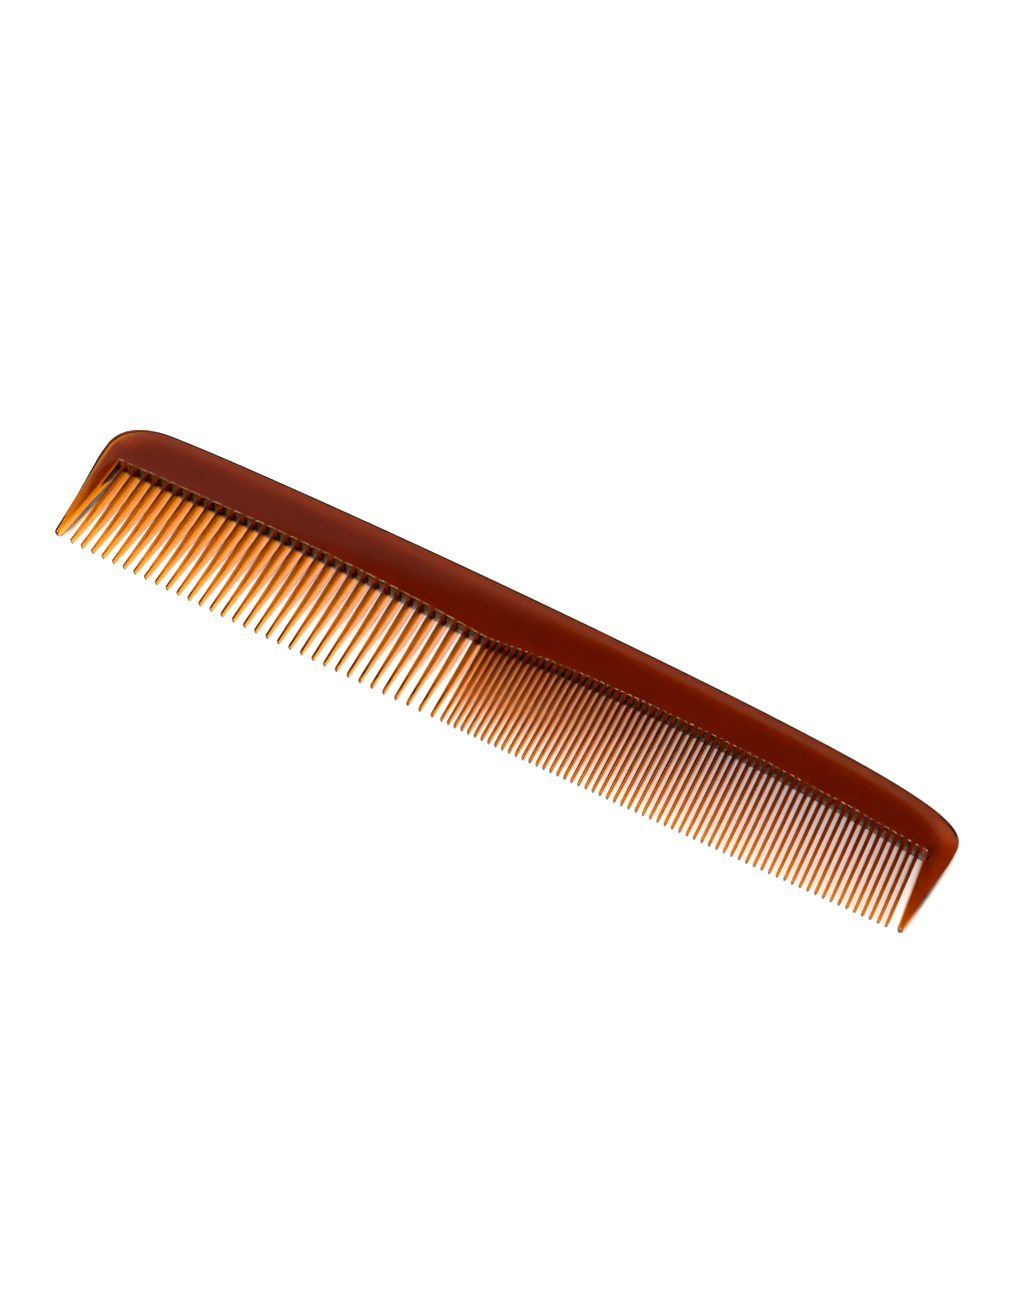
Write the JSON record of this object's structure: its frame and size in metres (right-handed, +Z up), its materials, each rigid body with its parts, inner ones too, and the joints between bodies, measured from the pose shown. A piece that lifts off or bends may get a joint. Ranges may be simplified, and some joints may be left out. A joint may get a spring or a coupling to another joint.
{
  "type": "hair comb",
  "caption": "One-piece moulded dressing comb: arched back with a rounded rim, coarse teeth at one end, fine teeth at the other, a broad guard tooth at each end.",
  "frame": {"origin": "middle of the underside of the comb as it lies flat, at the centre of its overall length and width", "axes": "+X along the length towards the fine teeth, +Y from the tooth tips towards the back, +Z up through the thickness"},
  "size_m": [0.1774, 0.0304, 0.0044],
  "materials": {
    "amber_plastic": "polished see-through amber: dark red where it is thick, orange where it is thin"
  },
  "bodies": {
    "root": {"back": "amber_plastic", "coarse_tooth_row": "amber_plastic", "fine_tooth_row": "amber_plastic", "coarse_end_guard": "amber_plastic", "fine_end_guard": "amber_plastic"}
  },
  "joints": []
}
